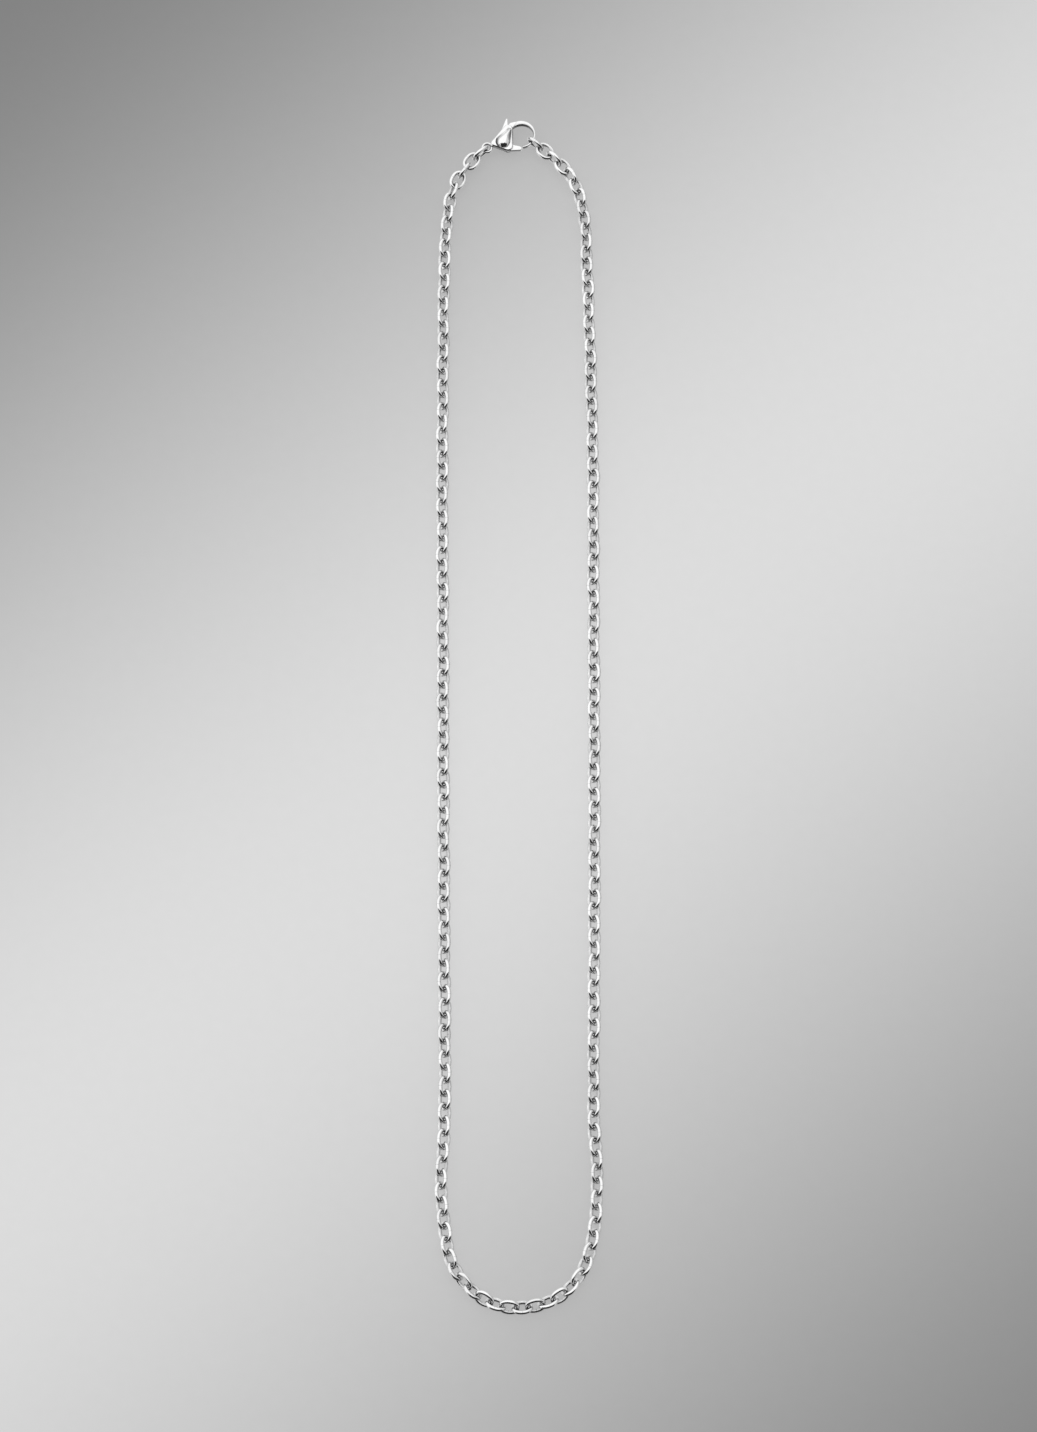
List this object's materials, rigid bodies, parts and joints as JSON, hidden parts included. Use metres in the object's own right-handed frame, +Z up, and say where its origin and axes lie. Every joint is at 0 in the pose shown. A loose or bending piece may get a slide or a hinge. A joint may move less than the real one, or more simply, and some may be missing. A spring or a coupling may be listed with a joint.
{
  "type": "cable chain necklace",
  "caption": "Neck chain of round-wire cable links lying as one long loop, closed by a lobster clasp whose sprung lever opens.",
  "frame": {"origin": "centre of the bounding box's bottom, on the surface that the chain lies on", "axes": "+X across the loop towards the side that ends on the hook, +Y along the loop from its round turn towards the clasp, +Z up from the surface"},
  "size_m": [0.0329, 0.2413, 0.0033],
  "materials": {
    "chain_left": "polished stainless steel",
    "chain_right": "polished stainless steel",
    "clasp_body": "mirror-polished stainless steel",
    "clasp_lever": "mirror-polished stainless steel",
    "clasp_pin": "polished stainless steel"
  },
  "bodies": {
    "necklace": {"chain_left": "chain_left", "chain_right": "chain_right", "clasp_body": "clasp_body", "clasp_pin": "clasp_pin"},
    "lever": {"clasp_lever": "clasp_lever"}
  },
  "joints": [
    {"name": "lever_hinge", "type": "hinge", "parent": "necklace", "child": "lever", "pos_m": [-0.00238, 0.11452, 0.00165], "axis": [0, 0, 1], "range_deg": [0, 30], "stiffness_Nm_per_rad": 0.005, "springref_deg": -20.05}
  ]
}
